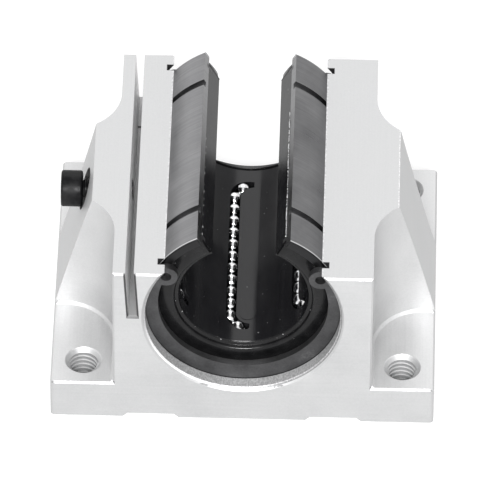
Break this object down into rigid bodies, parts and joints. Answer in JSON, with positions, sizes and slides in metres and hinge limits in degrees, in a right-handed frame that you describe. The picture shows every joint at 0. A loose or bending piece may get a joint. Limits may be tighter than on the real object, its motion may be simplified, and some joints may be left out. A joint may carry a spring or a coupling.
{
  "type": "linear bearing block",
  "caption": "Aluminium T-base block with an open linear ball bearing, a clamp slit and an adjusting screw, for a shaft on a supported rail.",
  "frame": {"origin": "middle of the mounting face, on its plane", "axes": "+Y along the shaft, +Z from the mounting face towards the open side, +X across the block"},
  "size_m": [0.089, 0.075, 0.0523],
  "materials": {
    "housing_aluminium": "fine satin, bright milled faces",
    "sleeve_steel": "ground bearing steel",
    "ball_steel": "polished bearing steel",
    "retainer_plastic": "moulded black plastic",
    "seal_rubber": "black rubber",
    "ring_steel": "dark phosphated spring steel",
    "screw_steel": "black oxide"
  },
  "bodies": {
    "block": {"housing": "housing_aluminium", "bearing_sleeve": "sleeve_steel", "ball_retainer": "retainer_plastic", "front_seal": "seal_rubber", "front_stop_ring": "ring_steel", "front_circlip": "ring_steel", "rear_seal": "seal_rubber", "rear_stop_ring": "ring_steel", "rear_circlip": "ring_steel", "loaded_balls_1": "ball_steel", "return_balls_1": "ball_steel", "loaded_balls_2": "ball_steel", "return_balls_2": "ball_steel", "loaded_balls_3": "ball_steel", "return_balls_3": "ball_steel", "loaded_balls_4": "ball_steel", "return_balls_4": "ball_steel", "loaded_balls_5": "ball_steel", "return_balls_5": "ball_steel"},
    "adjusting_screw": {"adjusting_screw": "screw_steel"}
  },
  "joints": [
    {"name": "adjusting_screw_travel", "type": "slide", "parent": "block", "child": "adjusting_screw", "axis": [1, 0, 0], "range_m": [-0.002, 0.0033]}
  ]
}
